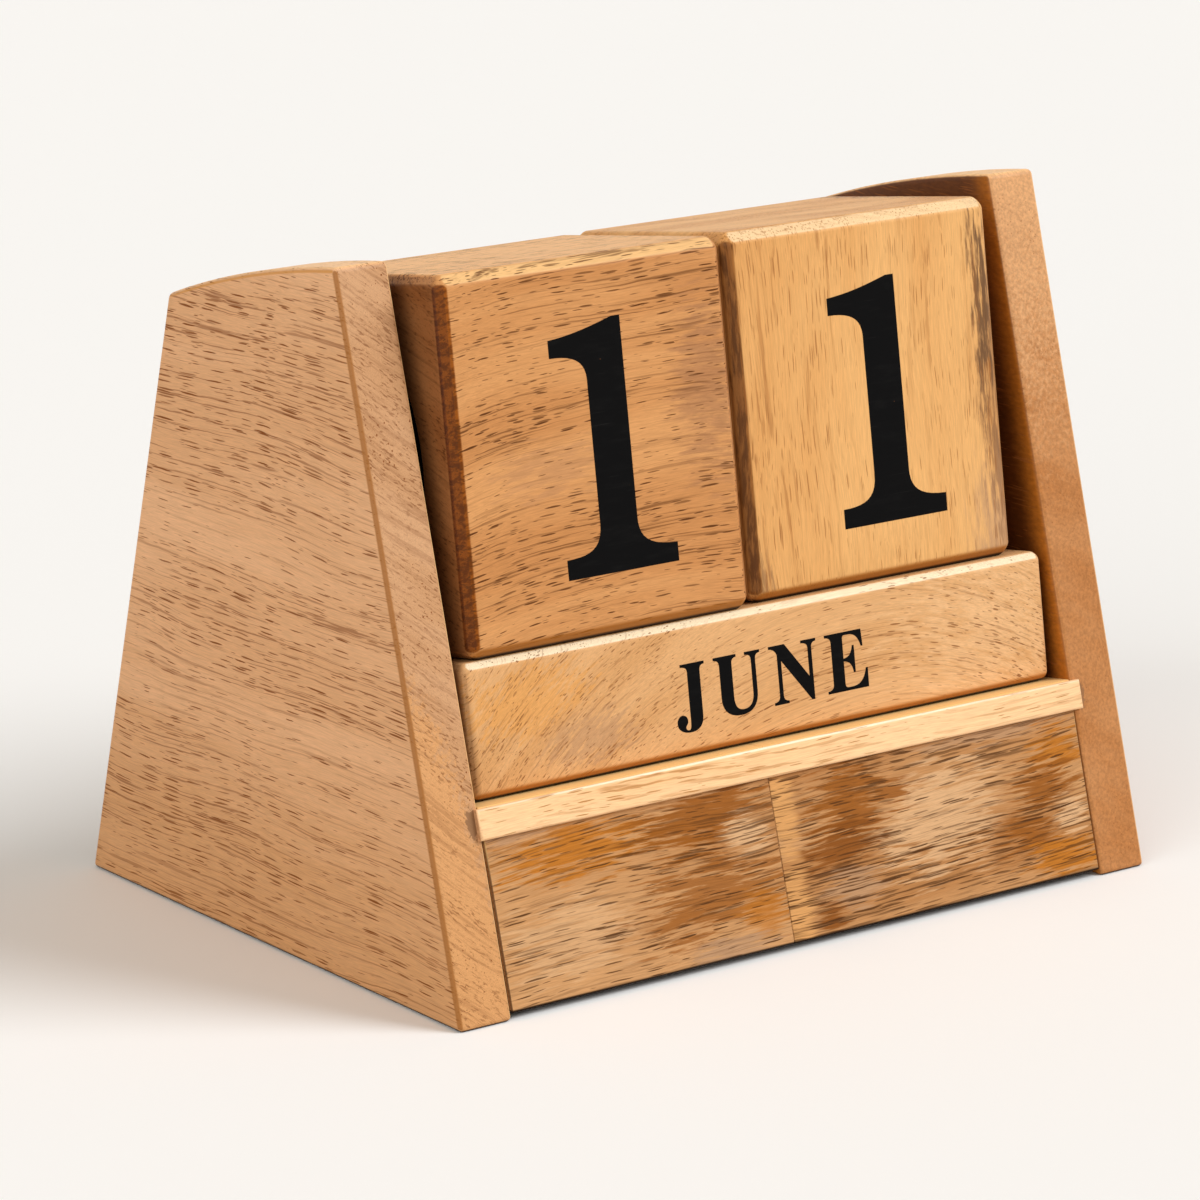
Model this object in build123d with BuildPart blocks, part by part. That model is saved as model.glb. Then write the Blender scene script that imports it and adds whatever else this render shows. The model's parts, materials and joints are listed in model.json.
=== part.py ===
from build123d import *
import math
import os

# Desk calendar of wood: a case with leaning side panels, a tilted seat that holds a row of three
# month bars, and two number blocks that stand on the bars.
# Front is -Y, the viewer's right is +X, and the case stands on Z = 0. Lengths are in millimetres.

# Number blocks
block_width = 50.0
block_depth = 37.5
block_height = 54.0
block_chamfer = 1.5
block_gap = 1.6
block_left_clearance = 2.7
block_right_clearance = 5.2
left_block_proud = 0.4
right_block_setback = 1.4

# Month bars, square in section and laid one behind the other
bar_size = 19.6
bar_chamfer = 1.0
bar_gap = 0.5
bar_end_clearance = 1.2
bar_setback = 2.5
bar_names = ("month_bar_front", "month_bar_middle", "month_bar_rear")

# Softening of the edges that the chamfers leave
arris_round = 0.4

# Seat under the bars: height of its front edge, and its fall to the back in degrees
seat_height = 28.8
seat_tilt = 8.5
seat_thickness = 8.0

# Side panels, with their front and back edges leaning inwards by degrees
panel_thickness = 9.0
panel_front_lean = 15.6
panel_back_lean = 14.8
panel_rise = 1.4
panel_top_fall = 10.5
panel_top_crown = 1.2
panel_round = 0.6

# Front boards, butted at a joint line to the left of the middle
front_board_thickness = 9.0
front_board_lift = 1.1
front_joint_offset = 4.25

# Back board, set in from the panels' back edges
back_board_thickness = 8.0
back_board_inset = 4.0
back_board_drop = 25.0
row_clearance = 0.5

# Ledge strip across the front boards
ledge_height = 4.45
ledge_proud = 1.0
ledge_drop = 0.15
ledge_left_lap = 0.9
ledge_right_lap = 1.3
ledge_round = 0.4

# Blind dowels between the boards and the panels, and in the joint of the front boards
dowel_radius = 2.0
dowel_length = 22.0
dowel_in_panel = 6.0
dowel_clearance = 0.05
dowel_end_gap = 0.5
front_dowel_shares = (0.28, 0.7)
seat_dowel_shares = (0.22, 0.78)
back_dowel_shares = (0.14, 0.5, 0.86)

# Length that oversize blanks run past the planes that trim them
overrun = 30.0


def tangent(degrees):
    return math.tan(math.radians(degrees))


def sine(degrees):
    return math.sin(math.radians(degrees))


def cosine(degrees):
    return math.cos(math.radians(degrees))


# Widths, built outwards from the two blocks
inner_width = block_left_clearance + block_width + block_gap + block_width + block_right_clearance
case_width = inner_width + 2 * panel_thickness
bar_length = inner_width - 2 * bar_end_clearance
left_block_x = -inner_width / 2 + block_left_clearance + block_width / 2
right_block_x = left_block_x + block_width + block_gap

# Depths from the front foot: the seat's front edge, the last bar's upper back edge, the back foot
bar_pitch = bar_size + bar_gap
row_depth = len(bar_names) * bar_pitch - bar_gap
seat_from_front = seat_height * tangent(panel_front_lean) + bar_setback
row_end_from_front = seat_from_front + row_depth * cosine(seat_tilt) + bar_size * sine(seat_tilt)
row_end_height = seat_height - row_depth * sine(seat_tilt) + bar_size * cosine(seat_tilt)
back_stack = row_clearance + back_board_thickness + back_board_inset
back_stack_run = back_stack / cosine(panel_back_lean)
panel_depth = row_end_from_front + row_end_height * tangent(panel_back_lean) + back_stack_run

# Heights
block_top_height = seat_height + (bar_size + block_height) * cosine(seat_tilt)
panel_height = block_top_height + panel_rise
panel_back_height = panel_height - panel_top_fall
back_board_top = panel_height - back_board_drop

# Planes: on the seat with Z up out of it, on the front slope with Z outwards,
# and on the back slope with Z inwards; in all three X is the case's own X
front_y = -panel_depth / 2
back_y = panel_depth / 2
across = (1, 0, 0)
seat_plane = Plane(
    origin=(0, front_y + seat_from_front, seat_height),
    x_dir=across,
    z_dir=(0, sine(seat_tilt), cosine(seat_tilt)),
)
front_plane = Plane(
    origin=(0, front_y, 0),
    x_dir=across,
    z_dir=(0, -cosine(panel_front_lean), sine(panel_front_lean)),
)
back_plane = Plane(
    origin=(0, back_y, 0),
    x_dir=across,
    z_dir=(0, -cosine(panel_back_lean), -sine(panel_back_lean)),
)
front_inner_plane = front_plane.offset(-front_board_thickness)
back_outer_plane = back_plane.offset(back_board_inset)
back_inner_plane = back_outer_plane.offset(back_board_thickness)
board_top_plane = seat_plane.offset(-ledge_drop)


def rise_along(plane, height_off_plane, stop_plane):
    # Distance up a plane's own Y, at a height off it, to where it meets another plane
    start = plane.from_local_coords((0, 0, height_off_plane))
    meeting = stop_plane.intersect(Axis(start, plane.y_dir))
    return plane.to_local_coords(meeting).Y


front_board_rise = rise_along(front_plane, 0, board_top_plane)
ledge_top = rise_along(front_plane, ledge_proud, board_top_plane)
seat_start = rise_along(seat_plane, 0, front_inner_plane)
seat_end = rise_along(seat_plane, 0, back_inner_plane)
seat_depth = seat_end - seat_start
back_board_rise = back_board_top / cosine(panel_back_lean)

# Dowel axes, all along X, as points in the middle of each board's thickness
front_dowel_points = [
    front_plane.from_local_coords((0, share * front_board_rise, -front_board_thickness / 2))
    for share in front_dowel_shares
]
seat_dowel_points = [
    seat_plane.from_local_coords((0, seat_start + share * seat_depth, -seat_thickness / 2))
    for share in seat_dowel_shares
]
back_dowel_points = [
    back_outer_plane.from_local_coords((0, share * back_board_rise, back_board_thickness / 2))
    for share in back_dowel_shares
]
dowel_in_board = dowel_length - dowel_in_panel
hole_radius = dowel_radius + dowel_clearance
hole_in_panel = dowel_in_panel + dowel_end_gap
hole_in_board = dowel_in_board + dowel_end_gap
joint_hole_half = dowel_length / 2 + dowel_end_gap


def rods(points, start_x, length, radius, mode=Mode.ADD):
    # Round rods along X through the given points, added to or cut from the open part
    with Locations(*[(start_x, point.Y, point.Z) for point in points]):
        Cylinder(
            radius,
            length,
            rotation=(0, 90, 0),
            align=(Align.CENTER, Align.CENTER, Align.MIN),
            mode=mode,
        )


def board_end_holes(points):
    # Blind holes in both ends of the open part's board
    rods(points, -inner_width / 2, hole_in_board, hole_radius, Mode.SUBTRACT)
    rods(points, inner_width / 2 - hole_in_board, hole_in_board, hole_radius, Mode.SUBTRACT)


def save(builder, name):
    builder.part.label = name
    export_step(builder.part, "parts/" + name + ".step")


os.makedirs("parts", exist_ok=True)

# Side panels: a trapezoid with a slightly crowned top edge that falls to the back
front_top = (front_y + panel_height * tangent(panel_front_lean), panel_height)
back_top = (back_y - panel_back_height * tangent(panel_back_lean), panel_back_height)
top_run = math.hypot(front_top[0] - back_top[0], panel_top_fall)
crown_top = (
    (front_top[0] + back_top[0]) / 2 + panel_top_crown * panel_top_fall / top_run,
    (front_top[1] + back_top[1]) / 2 + panel_top_crown * (back_top[0] - front_top[0]) / top_run,
)
panel_points = front_dowel_points + seat_dowel_points + back_dowel_points
panel_places = (
    ("left_side_panel", -case_width / 2, -inner_width / 2 - hole_in_panel),
    ("right_side_panel", inner_width / 2, inner_width / 2),
)
for panel_name, panel_x, hole_x in panel_places:
    with BuildPart() as side_panel:
        with BuildSketch(Plane.YZ.offset(panel_x)):
            with BuildLine():
                Polyline(back_top, (back_y, 0), (front_y, 0), front_top)
                ThreePointArc(front_top, crown_top, back_top)
            make_face()
        extrude(amount=panel_thickness)
        fillet(side_panel.edges(), radius=panel_round)
        rods(panel_points, hole_x, hole_in_panel, hole_radius, Mode.SUBTRACT)
    save(side_panel, panel_name)

# Front boards: cut level just clear of the floor and along the seat's tilt at the top
front_board_places = (
    ("front_board_left", -inner_width / 2, -front_joint_offset, -inner_width / 2),
    ("front_board_right", -front_joint_offset, inner_width / 2, inner_width / 2 - hole_in_board),
)
for board_name, start_x, end_x, hole_x in front_board_places:
    with BuildPart() as front_board:
        with BuildSketch(front_plane):
            with Locations((start_x, -overrun)):
                Rectangle(
                    end_x - start_x,
                    front_board_rise + 2 * overrun,
                    align=(Align.MIN, Align.MIN),
                )
        extrude(amount=-front_board_thickness)
        split(bisect_by=Plane.XY.offset(front_board_lift), keep=Keep.TOP)
        split(bisect_by=board_top_plane, keep=Keep.BOTTOM)
        rods(front_dowel_points, hole_x, hole_in_board, hole_radius, Mode.SUBTRACT)
        rods(
            front_dowel_points,
            -front_joint_offset - joint_hole_half,
            2 * joint_hole_half,
            hole_radius,
            Mode.SUBTRACT,
        )
    save(front_board, board_name)

# Ledge strip: a thin lath on the front slope, its top front edge just under the seat's plane
# and the edges of its outer face softened
with BuildPart() as ledge_strip:
    with BuildSketch(front_plane):
        with Locations((-inner_width / 2 - ledge_left_lap, ledge_top)):
            Rectangle(
                ledge_left_lap + inner_width + ledge_right_lap,
                ledge_height,
                align=(Align.MIN, Align.MAX),
            )
    extrude(amount=ledge_proud)
    ledge_face = ledge_strip.faces().sort_by(Axis(front_plane.origin, front_plane.z_dir))[-1]
    fillet(ledge_face.edges(), radius=ledge_round)
save(ledge_strip, "ledge_strip")

# Seat board: tilted, with both long edges cut to the boards that they meet
with BuildPart() as seat_board:
    with BuildSketch(seat_plane):
        with Locations((0, seat_start - overrun)):
            Rectangle(inner_width, seat_depth + 2 * overrun, align=(Align.CENTER, Align.MIN))
    extrude(amount=-seat_thickness)
    split(bisect_by=front_inner_plane, keep=Keep.BOTTOM)
    split(bisect_by=back_inner_plane, keep=Keep.TOP)
    board_end_holes(seat_dowel_points)
save(seat_board, "seat_board")

# Back board: leans with the panels' back edges and is cut level at the floor
with BuildPart() as back_board:
    with BuildSketch(back_outer_plane):
        with Locations((0, -overrun)):
            Rectangle(inner_width, back_board_rise + overrun, align=(Align.CENTER, Align.MIN))
    extrude(amount=back_board_thickness)
    split(bisect_by=Plane.XY, keep=Keep.TOP)
    board_end_holes(back_dowel_points)
save(back_board, "back_board")

# Dowels: each group of like pins is one piece of several solids
end_dowel_groups = (
    ("front_board_dowels", front_dowel_points),
    ("seat_dowels", seat_dowel_points),
    ("back_board_dowels", back_dowel_points),
)
for group_name, group_points in end_dowel_groups:
    with BuildPart() as dowels:
        rods(group_points, -inner_width / 2 - dowel_in_panel, dowel_length, dowel_radius)
        rods(group_points, inner_width / 2 - dowel_in_board, dowel_length, dowel_radius)
    save(dowels, group_name)

with BuildPart() as front_joint_dowels:
    rods(front_dowel_points, -front_joint_offset - dowel_length / 2, dowel_length, dowel_radius)
save(front_joint_dowels, "front_joint_dowels")

# Month bars: square bars in a row on the seat
for place, bar_name in enumerate(bar_names):
    with BuildPart(seat_plane) as month_bar:
        with Locations((0, place * bar_pitch, 0)):
            Box(bar_length, bar_size, bar_size, align=(Align.CENTER, Align.MIN, Align.MIN))
        chamfer(month_bar.edges(), length=bar_chamfer)
        fillet(month_bar.edges(), radius=arris_round)
    save(month_bar, bar_name)

# Number blocks: they stand on the front two bars
block_places = (
    ("number_block_left", left_block_x, -left_block_proud),
    ("number_block_right", right_block_x, right_block_setback),
)
for block_name, block_x, block_start in block_places:
    with BuildPart(seat_plane) as number_block:
        with Locations((block_x, block_start, bar_size)):
            Box(
                block_width,
                block_depth,
                block_height,
                align=(Align.CENTER, Align.MIN, Align.MIN),
            )
        chamfer(number_block.edges(), length=block_chamfer)
        fillet(number_block.edges(), radius=arris_round)
    save(number_block, block_name)
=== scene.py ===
import json
import math
import bmesh
import bpy
from mathutils import Matrix, Vector


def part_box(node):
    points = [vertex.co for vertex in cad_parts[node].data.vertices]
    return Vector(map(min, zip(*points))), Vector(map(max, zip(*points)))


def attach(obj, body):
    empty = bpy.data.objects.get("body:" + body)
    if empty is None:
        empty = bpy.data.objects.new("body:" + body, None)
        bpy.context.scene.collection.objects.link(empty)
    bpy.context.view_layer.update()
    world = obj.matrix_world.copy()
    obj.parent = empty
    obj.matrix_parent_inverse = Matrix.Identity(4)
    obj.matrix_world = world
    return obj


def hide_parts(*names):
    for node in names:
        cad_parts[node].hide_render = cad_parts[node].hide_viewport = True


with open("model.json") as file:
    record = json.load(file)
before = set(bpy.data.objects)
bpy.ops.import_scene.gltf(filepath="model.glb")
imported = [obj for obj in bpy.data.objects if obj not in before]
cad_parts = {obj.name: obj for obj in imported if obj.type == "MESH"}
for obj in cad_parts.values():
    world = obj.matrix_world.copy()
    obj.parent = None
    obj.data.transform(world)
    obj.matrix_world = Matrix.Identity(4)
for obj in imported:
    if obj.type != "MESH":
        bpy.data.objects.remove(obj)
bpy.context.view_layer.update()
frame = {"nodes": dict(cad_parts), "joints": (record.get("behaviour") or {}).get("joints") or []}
scene = bpy.context.scene
mm = 0.001
print("frame loaded,", len(frame["nodes"]), "nodes")

# axes of the tilted seat, from the joints that follow it
joints = {joint["name"]: joint for joint in frame["joints"]}
across = Vector((1, 0, 0))
seatUp = Vector(joints["left_block_lift"]["axis"]).normalized()
seatBack = -Vector(joints["front_bar_slide"]["axis"]).normalized()


# camera at the photograph's angle: degrees and mm
viewSetup = dict(
    azimuth=-37.02,
    elevation=14.8,
    target=(-3.57, 0.0, 42.28),
    distance=805.78,
    nearest=10.0,
    lens=162.03,
    sensor=36.0,
)


def placeCamera(setup):
    turn, rise = math.radians(setup["azimuth"]), math.radians(setup["elevation"])
    back = Vector((math.sin(turn) * math.cos(rise), -math.cos(turn) * math.cos(rise), math.sin(rise)))
    data = bpy.data.cameras.new("photoCamera")
    data.sensor_width = setup["sensor"]
    data.lens = setup["lens"]
    data.clip_start = setup["nearest"] * mm
    camera = bpy.data.objects.new("photoCamera", data)
    camera.location = Vector(setup["target"]) * mm + back * setup["distance"] * mm
    camera.rotation_euler = (-back).to_track_quat("-Z", "Y").to_euler()
    scene.collection.objects.link(camera)
    scene.camera = camera


placeCamera(viewSetup)
scene.view_settings.view_transform = "Standard"
print("camera placed")


# shader building blocks
def addNode(tree, kind, inputs, **settings):
    made = tree.nodes.new(kind)
    for name, value in settings.items():
        setattr(made, name, value)
    for socket, value in inputs.items():
        if isinstance(value, bpy.types.NodeSocket):
            tree.links.new(value, made.inputs[socket])
        else:
            made.inputs[socket].default_value = value
    return made


def calc(tree, operation, a, b=0.0):
    return addNode(tree, "ShaderNodeMath", {0: a, 1: b}, operation=operation).outputs[0]


def vectorCalc(tree, operation, a, b):
    return addNode(tree, "ShaderNodeVectorMath", {0: a, 1: b}, operation=operation).outputs[0]


def ease(tree, value, low, high, toLow=0.0, toHigh=1.0):
    values = {"Value": value, "From Min": low, "From Max": high, "To Min": toLow, "To Max": toHigh}
    return addNode(tree, "ShaderNodeMapRange", values, interpolation_type="SMOOTHSTEP").outputs[0]


def mixColour(tree, share, a, b):
    a = a if isinstance(a, bpy.types.NodeSocket) else (*a, 1)
    b = b if isinstance(b, bpy.types.NodeSocket) else (*b, 1)
    return addNode(tree, "ShaderNodeMix", {0: share, 6: a, 7: b}, data_type="RGBA").outputs[2]


def cloud(tree, spot, size, detail=2.0, roughness=0.5):
    stretched = vectorCalc(tree, "DIVIDE", spot, size)
    values = {"Vector": stretched, "Scale": 1.0, "Detail": detail, "Roughness": roughness}
    return addNode(tree, "ShaderNodeTexNoise", values)


def spotInMm(tree, coords, shift=(0, 0, 0), turn=(0, 0, 0)):
    # object coordinates in mm, turned and then shifted
    place = {"Scale": (1 / mm,) * 3, "Rotation": turn, "Location": shift}
    return addNode(tree, "ShaderNodeMapping", {"Vector": coords.outputs["Object"], **place}).outputs[0]


def emboss(tree, shader, height, look):
    values = {"Height": height, "Strength": look["bump"], "Distance": look["bumpDepth"] * mm}
    tree.links.new(addNode(tree, "ShaderNodeBump", values).outputs[0], shader.inputs["Normal"])


def newMaterial(name):
    material = bpy.data.materials.new(name)
    material.use_nodes = True
    tree = material.node_tree
    return material, tree, tree.nodes["Principled BSDF"]


# what all the varnished boards share; sizes in mm: along the grain, across it, through the rings
varnishedWood = dict(
    shift=(0.0, 0.0, 0.0),
    arch=(0.0, 0.0),  # where along the grain it crowns, and how much it bends per square mm
    swaySize=(38.0, 24.0, 24.0),
    sway=3.4,
    wobbleSize=(3.4, 1.0, 1.0),
    wobble=0.26,
    driftNoise=(1.0, 0.5),  # detail and roughness, as for each noise below
    bandSize=(90.0, 22.0, 7.0),
    bandNoise=(3.0, 0.55),
    bandEdge=(0.36, 0.66),
    crowdEdge=(0.36, 0.62),  # where in the bands the pores and lines begin to crowd, and where most do
    poreCell=(6.5, 0.34, 0.34),
    poreChance=(0.1, 1.0),
    poreReach=(0.15, 0.43),
    poreCrowd=(0.60, 1.12),
    poreLeast=0.01,  # keeps a pore's reach above zero
    poreRim=0.7,
    poreDark=0.9,
    poreFaint=0.6,  # the faintest pore, as a share of the darkest
    poreFade=0.05,
    endPores=0.06,  # share of the pores that shows on end grain
    endTurn=(0.55, 0.9),  # cosines between which a face turns into end grain
    endTint=(0.80, 0.74, 0.70),
    lineSize=(28.0, 1.3, 0.32),
    lineEdge=(0.55, 0.69),
    lineDark=0.42,
    lineCrowd=(0.40, 1.25),
    fibreSize=(4.0, 0.16, 0.16),
    fibreNoise=(3.0, 0.6),
    fibreEdge=(0.2, 0.8),
    fibre=0.13,
    ringSize=(60.0, 15.0, 0.55),
    ringNoise=(3.0, 0.6),
    ringEdge=(0.46, 0.66),
    ringDark=0.30,
    arris=(0.42, 0.17, 0.045),
    arrisShare=0.0,
    ragSize=(5.5, 0.75, 0.75),
    ragNoise=(4.0, 0.62),
    patches=(),  # blots in the wood and painted light and shade, under its pores
    glueAndPaintedLight=(),  # glue marks and painted light and shade, over everything
    roughness=0.46,
    roughSpread=0.06,
    poreRough=0.15,
    fibreHeight=0.35,  # of a pore's depth
    bump=0.5,
    bumpDepth=0.06,
    shine=0.12,
    coat=0.05,
    coatRough=0.30,
)

# how a stain, or a painted light or shade, spreads where it doesn't say otherwise
usualPatchSpread = dict(
    core=0.45,  # share of its reach with the full colour
    ragged=0.6,  # how far the grain pulls its rim in and out
    ragEdge=(0.25, 0.75),
    lean=0.0,  # radians about x
    turn=(0.55, 0.9),  # cosines between which a face that looks its way takes the colour
)


def grainTurn(grain, rings):
    # turn that lays the grain along X and stacks the growth rings along Z
    along = Vector(grain).normalized()
    side = Vector(rings).cross(along).normalized()
    return Matrix((along, side, along.cross(side))).to_euler()


def grainSpace(tree, look, coords):
    # object coordinates in mm with X along the grain, swayed, arched and a little uneven
    straight = spotInMm(tree, coords, look["shift"], grainTurn(look["grain"], look["rings"]))
    run = addNode(tree, "ShaderNodeSeparateXYZ", {0: straight}).outputs["X"]
    crown, curve = look["arch"]
    run = calc(tree, "SUBTRACT", run, crown + look["shift"][0])
    lift = calc(tree, "MULTIPLY", calc(tree, "MULTIPLY", run, run), curve)
    bent = vectorCalc(tree, "ADD", straight, addNode(tree, "ShaderNodeCombineXYZ", {"Z": lift}).outputs[0])
    for size, reach in ((look["swaySize"], look["sway"]), (look["wobbleSize"], look["wobble"])):
        drift = cloud(tree, straight, size, *look["driftNoise"]).outputs[1]
        drift = vectorCalc(tree, "SUBTRACT", drift, (0.5, 0.5, 0.5))  # both ways from the middle
        bent = vectorCalc(tree, "ADD", bent, vectorCalc(tree, "MULTIPLY", drift, (0, reach, reach)))
    return bent


def facingShare(tree, coords, direction, turn):
    values = {0: coords.outputs["Normal"], 1: Vector(direction).normalized()}
    side = addNode(tree, "ShaderNodeVectorMath", values, operation="DOT_PRODUCT")
    return ease(tree, side.outputs["Value"], *turn)


def stainOrPaintedLight(tree, colour, coords, rag, patch):
    # a ragged blot of another colour around a place on the piece: a stain, or painted light or shade
    patch = dict(usualPatchSpread, **patch)
    spot = spotInMm(tree, coords, turn=(patch["lean"], 0, 0))
    away = vectorCalc(tree, "DIVIDE", vectorCalc(tree, "SUBTRACT", spot, patch["at"]), patch["size"])
    away = addNode(tree, "ShaderNodeVectorMath", {0: away}, operation="LENGTH").outputs["Value"]
    away = calc(tree, "ADD", away, ease(tree, rag, *patch["ragEdge"], -patch["ragged"], patch["ragged"]))
    share = ease(tree, away, 1.0, patch["core"], 0.0, patch["share"])
    if "facing" in patch:
        side = facingShare(tree, coords, patch["facing"], patch["turn"])
        share = calc(tree, "MULTIPLY", share, side)
    return mixColour(tree, share, colour, patch["colour"])


def poreMarks(tree, look, bent, band, ends):
    # pores are long thin cells of their own, larger in the dark bands and fewer on end grain
    cells = vectorCalc(tree, "DIVIDE", bent, look["poreCell"])
    pores = addNode(tree, "ShaderNodeTexVoronoi", {"Vector": cells, "Scale": 1.0})
    chance = addNode(tree, "ShaderNodeSeparateColor", {0: pores.outputs["Color"]})
    reach = ease(tree, chance.outputs[0], *look["poreChance"], *look["poreReach"])
    reach = calc(tree, "MULTIPLY", reach, ease(tree, band, *look["crowdEdge"], *look["poreCrowd"]))
    missed = calc(tree, "MULTIPLY", ends, 1 - look["endPores"])
    shown = calc(tree, "SUBTRACT", chance.outputs[0], missed)
    shown = ease(tree, shown, -look["poreFade"], look["poreFade"])
    reach = calc(tree, "MULTIPLY", reach, calc(tree, "MAXIMUM", shown, look["poreLeast"]))
    pore = ease(tree, calc(tree, "DIVIDE", pores.outputs["Distance"], reach), 1.0, look["poreRim"])
    faintest = look["poreFaint"] * look["poreDark"]
    depth = ease(tree, chance.outputs[1], 0.0, 1.0, faintest, look["poreDark"])
    return pore, calc(tree, "MULTIPLY", pore, depth)


def woodFinish(name, look):
    material, tree, shader = newMaterial(name)
    coords = addNode(tree, "ShaderNodeTexCoord", {})
    bent = grainSpace(tree, look, coords)
    band = cloud(tree, bent, look["bandSize"], *look["bandNoise"]).outputs[0]
    fibre = cloud(tree, bent, look["fibreSize"], *look["fibreNoise"]).outputs[0]
    line = cloud(tree, bent, look["lineSize"]).outputs[0]
    rag = cloud(tree, bent, look["ragSize"], *look["ragNoise"]).outputs[0]
    along = Vector(look["grain"]).normalized()
    ends = [facingShare(tree, coords, way, look["endTurn"]) for way in (along, -along)]
    ends = calc(tree, "ADD", *ends)
    pore, poreShare = poreMarks(tree, look, bent, band, ends)

    colour = mixColour(tree, ease(tree, band, *look["bandEdge"]), look["light"], look["dark"])
    for patch in look["patches"]:
        colour = stainOrPaintedLight(tree, colour, coords, rag, patch)
    streak = ease(tree, line, *look["lineEdge"], 0.0, look["lineDark"])
    streak = calc(tree, "MULTIPLY", streak, ease(tree, band, *look["crowdEdge"], *look["lineCrowd"]))
    colour = mixColour(tree, streak, colour, look["pore"])
    lightness = ease(tree, fibre, *look["fibreEdge"], 1 - look["fibre"], 1 + look["fibre"])
    values = {0: colour, "Scale": lightness}
    colour = addNode(tree, "ShaderNodeVectorMath", values, operation="SCALE").outputs[0]

    # end grain soaks up more varnish and takes a tint of its own
    rings = cloud(tree, bent, look["ringSize"], *look["ringNoise"]).outputs[0]
    ring = ease(tree, rings, *look["ringEdge"], 0.0, look["ringDark"])
    soaked = vectorCalc(tree, "MULTIPLY", mixColour(tree, ring, colour, look["pore"]), look["endTint"])
    colour = mixColour(tree, ends, colour, soaked)
    colour = mixColour(tree, poreShare, colour, look["pore"])
    edge = addNode(tree, "ShaderNodeAttribute", {}, attribute_name="arris").outputs["Fac"]
    colour = mixColour(tree, calc(tree, "MULTIPLY", edge, look["arrisShare"]), colour, look["arris"])
    for shade in look["glueAndPaintedLight"]:
        colour = stainOrPaintedLight(tree, colour, coords, rag, shade)
    tree.links.new(colour, shader.inputs["Base Color"])

    smoothest, roughest = look["roughness"] - look["roughSpread"], look["roughness"] + look["roughSpread"]
    rough = ease(tree, fibre, *look["fibreEdge"], smoothest, roughest)
    rough = calc(tree, "ADD", rough, calc(tree, "MULTIPLY", pore, look["poreRough"]))
    tree.links.new(rough, shader.inputs["Roughness"])
    height = calc(tree, "SUBTRACT", calc(tree, "MULTIPLY", fibre, look["fibreHeight"]), pore)
    emboss(tree, shader, height, look)
    shader.inputs["Specular IOR Level"].default_value = look["shine"]
    shader.inputs["Coat Weight"].default_value = look["coat"]
    shader.inputs["Coat Roughness"].default_value = look["coatRough"]
    return material


# floor, lamps and white surroundings
studio = dict(
    floorColour=(0.957, 0.964, 0.962),
    floorBounce=(0.56, 0.52, 0.47),
    floorSize=4.0,  # m
    floorRough=0.85,
    floorShine=0.2,
    surround=(0.965, 0.935, 0.895),
    roomLight=(0.98, 0.89, 0.78),
    surroundLight=0.40,
    keyLight=2.2,
    keyColour=(0.99, 1.0, 1.02),
    keyFrom=(0.70, -0.68, 0.76),
    keyWidth=34.0,  # degrees of sky that the lamp fills
    fillLight=1.5,
    fillColour=(1.0, 0.985, 0.96),
    fillFrom=(-0.9, -0.35, 0.35),
    fillWidth=60.0,
)


def sunLamp(name, strength, colour, source, width):
    data = bpy.data.lights.new(name, "SUN")
    data.energy = strength
    data.color = colour
    data.angle = math.radians(width)
    lamp = bpy.data.objects.new(name, data)
    lamp.rotation_euler = Vector(source).to_track_quat("Z", "Y").to_euler()
    scene.collection.objects.link(lamp)


def seenDirectly(tree):
    # 1 for what the camera sees, also through glass or in a shine
    seen = addNode(tree, "ShaderNodeLightPath", {})
    direct = calc(tree, "MAXIMUM", seen.outputs["Is Camera Ray"], seen.outputs["Is Transmission Ray"])
    return calc(tree, "MAXIMUM", direct, seen.outputs["Is Glossy Ray"])


def layFloor(setup):
    bm = bmesh.new()
    bmesh.ops.create_grid(bm, x_segments=1, y_segments=1, size=setup["floorSize"] / 2)
    mesh = bpy.data.meshes.new("paleFloor")
    bm.to_mesh(mesh)
    bm.free()
    material, tree, shader = newMaterial("palePaper")
    paper = mixColour(tree, seenDirectly(tree), setup["floorBounce"], setup["floorColour"])
    tree.links.new(paper, shader.inputs["Base Color"])
    shader.inputs["Roughness"].default_value = setup["floorRough"]
    shader.inputs["Specular IOR Level"].default_value = setup["floorShine"]
    mesh.materials.append(material)
    floor = bpy.data.objects.new("paleFloor", mesh)
    scene.collection.objects.link(floor)


def whiteSurround(setup):
    world = bpy.data.worlds.new("whiteRoom")
    scene.world = world
    world.use_nodes = True
    tree = world.node_tree
    back = tree.nodes["Background"]
    direct = seenDirectly(tree)
    tree.links.new(mixColour(tree, direct, setup["roomLight"], setup["surround"]), back.inputs["Color"])
    strength = ease(tree, direct, 0.0, 1.0, setup["surroundLight"], 1.0)
    tree.links.new(strength, back.inputs["Strength"])


layFloor(studio)
whiteSurround(studio)
for lamp in ("key", "fill"):
    strength, colour, source, width = (studio[lamp + part] for part in ("Light", "Colour", "From", "Width"))
    sunLamp(lamp + "Lamp", strength, colour, source, width)
print("studio lit")


# bench work: boards are sawn to the CAD planes, then their arrises are eased
bench = dict(
    sameWay=3,  # decimals at which the directions of two faces agree
    sameDepth=4,  # decimals of a metre at which their depths agree
    smallestFace=20.0,  # mm2, less is no side of a board
    flatness=0.02,  # mm
    oversize=1.5,  # of the blank that a board is sawn from
    weld=0.0001,  # mm
    slack=0.1,  # mm, by which a point may lie under the face that it belongs to
    upward=0.6,  # an eased edge that rises more than this gathers no varnish
)


def spanOf(node, axis):
    reaches = [vertex.co.dot(axis) for vertex in frame["nodes"][node].data.vertices]
    return min(reaches), max(reaches)


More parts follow.
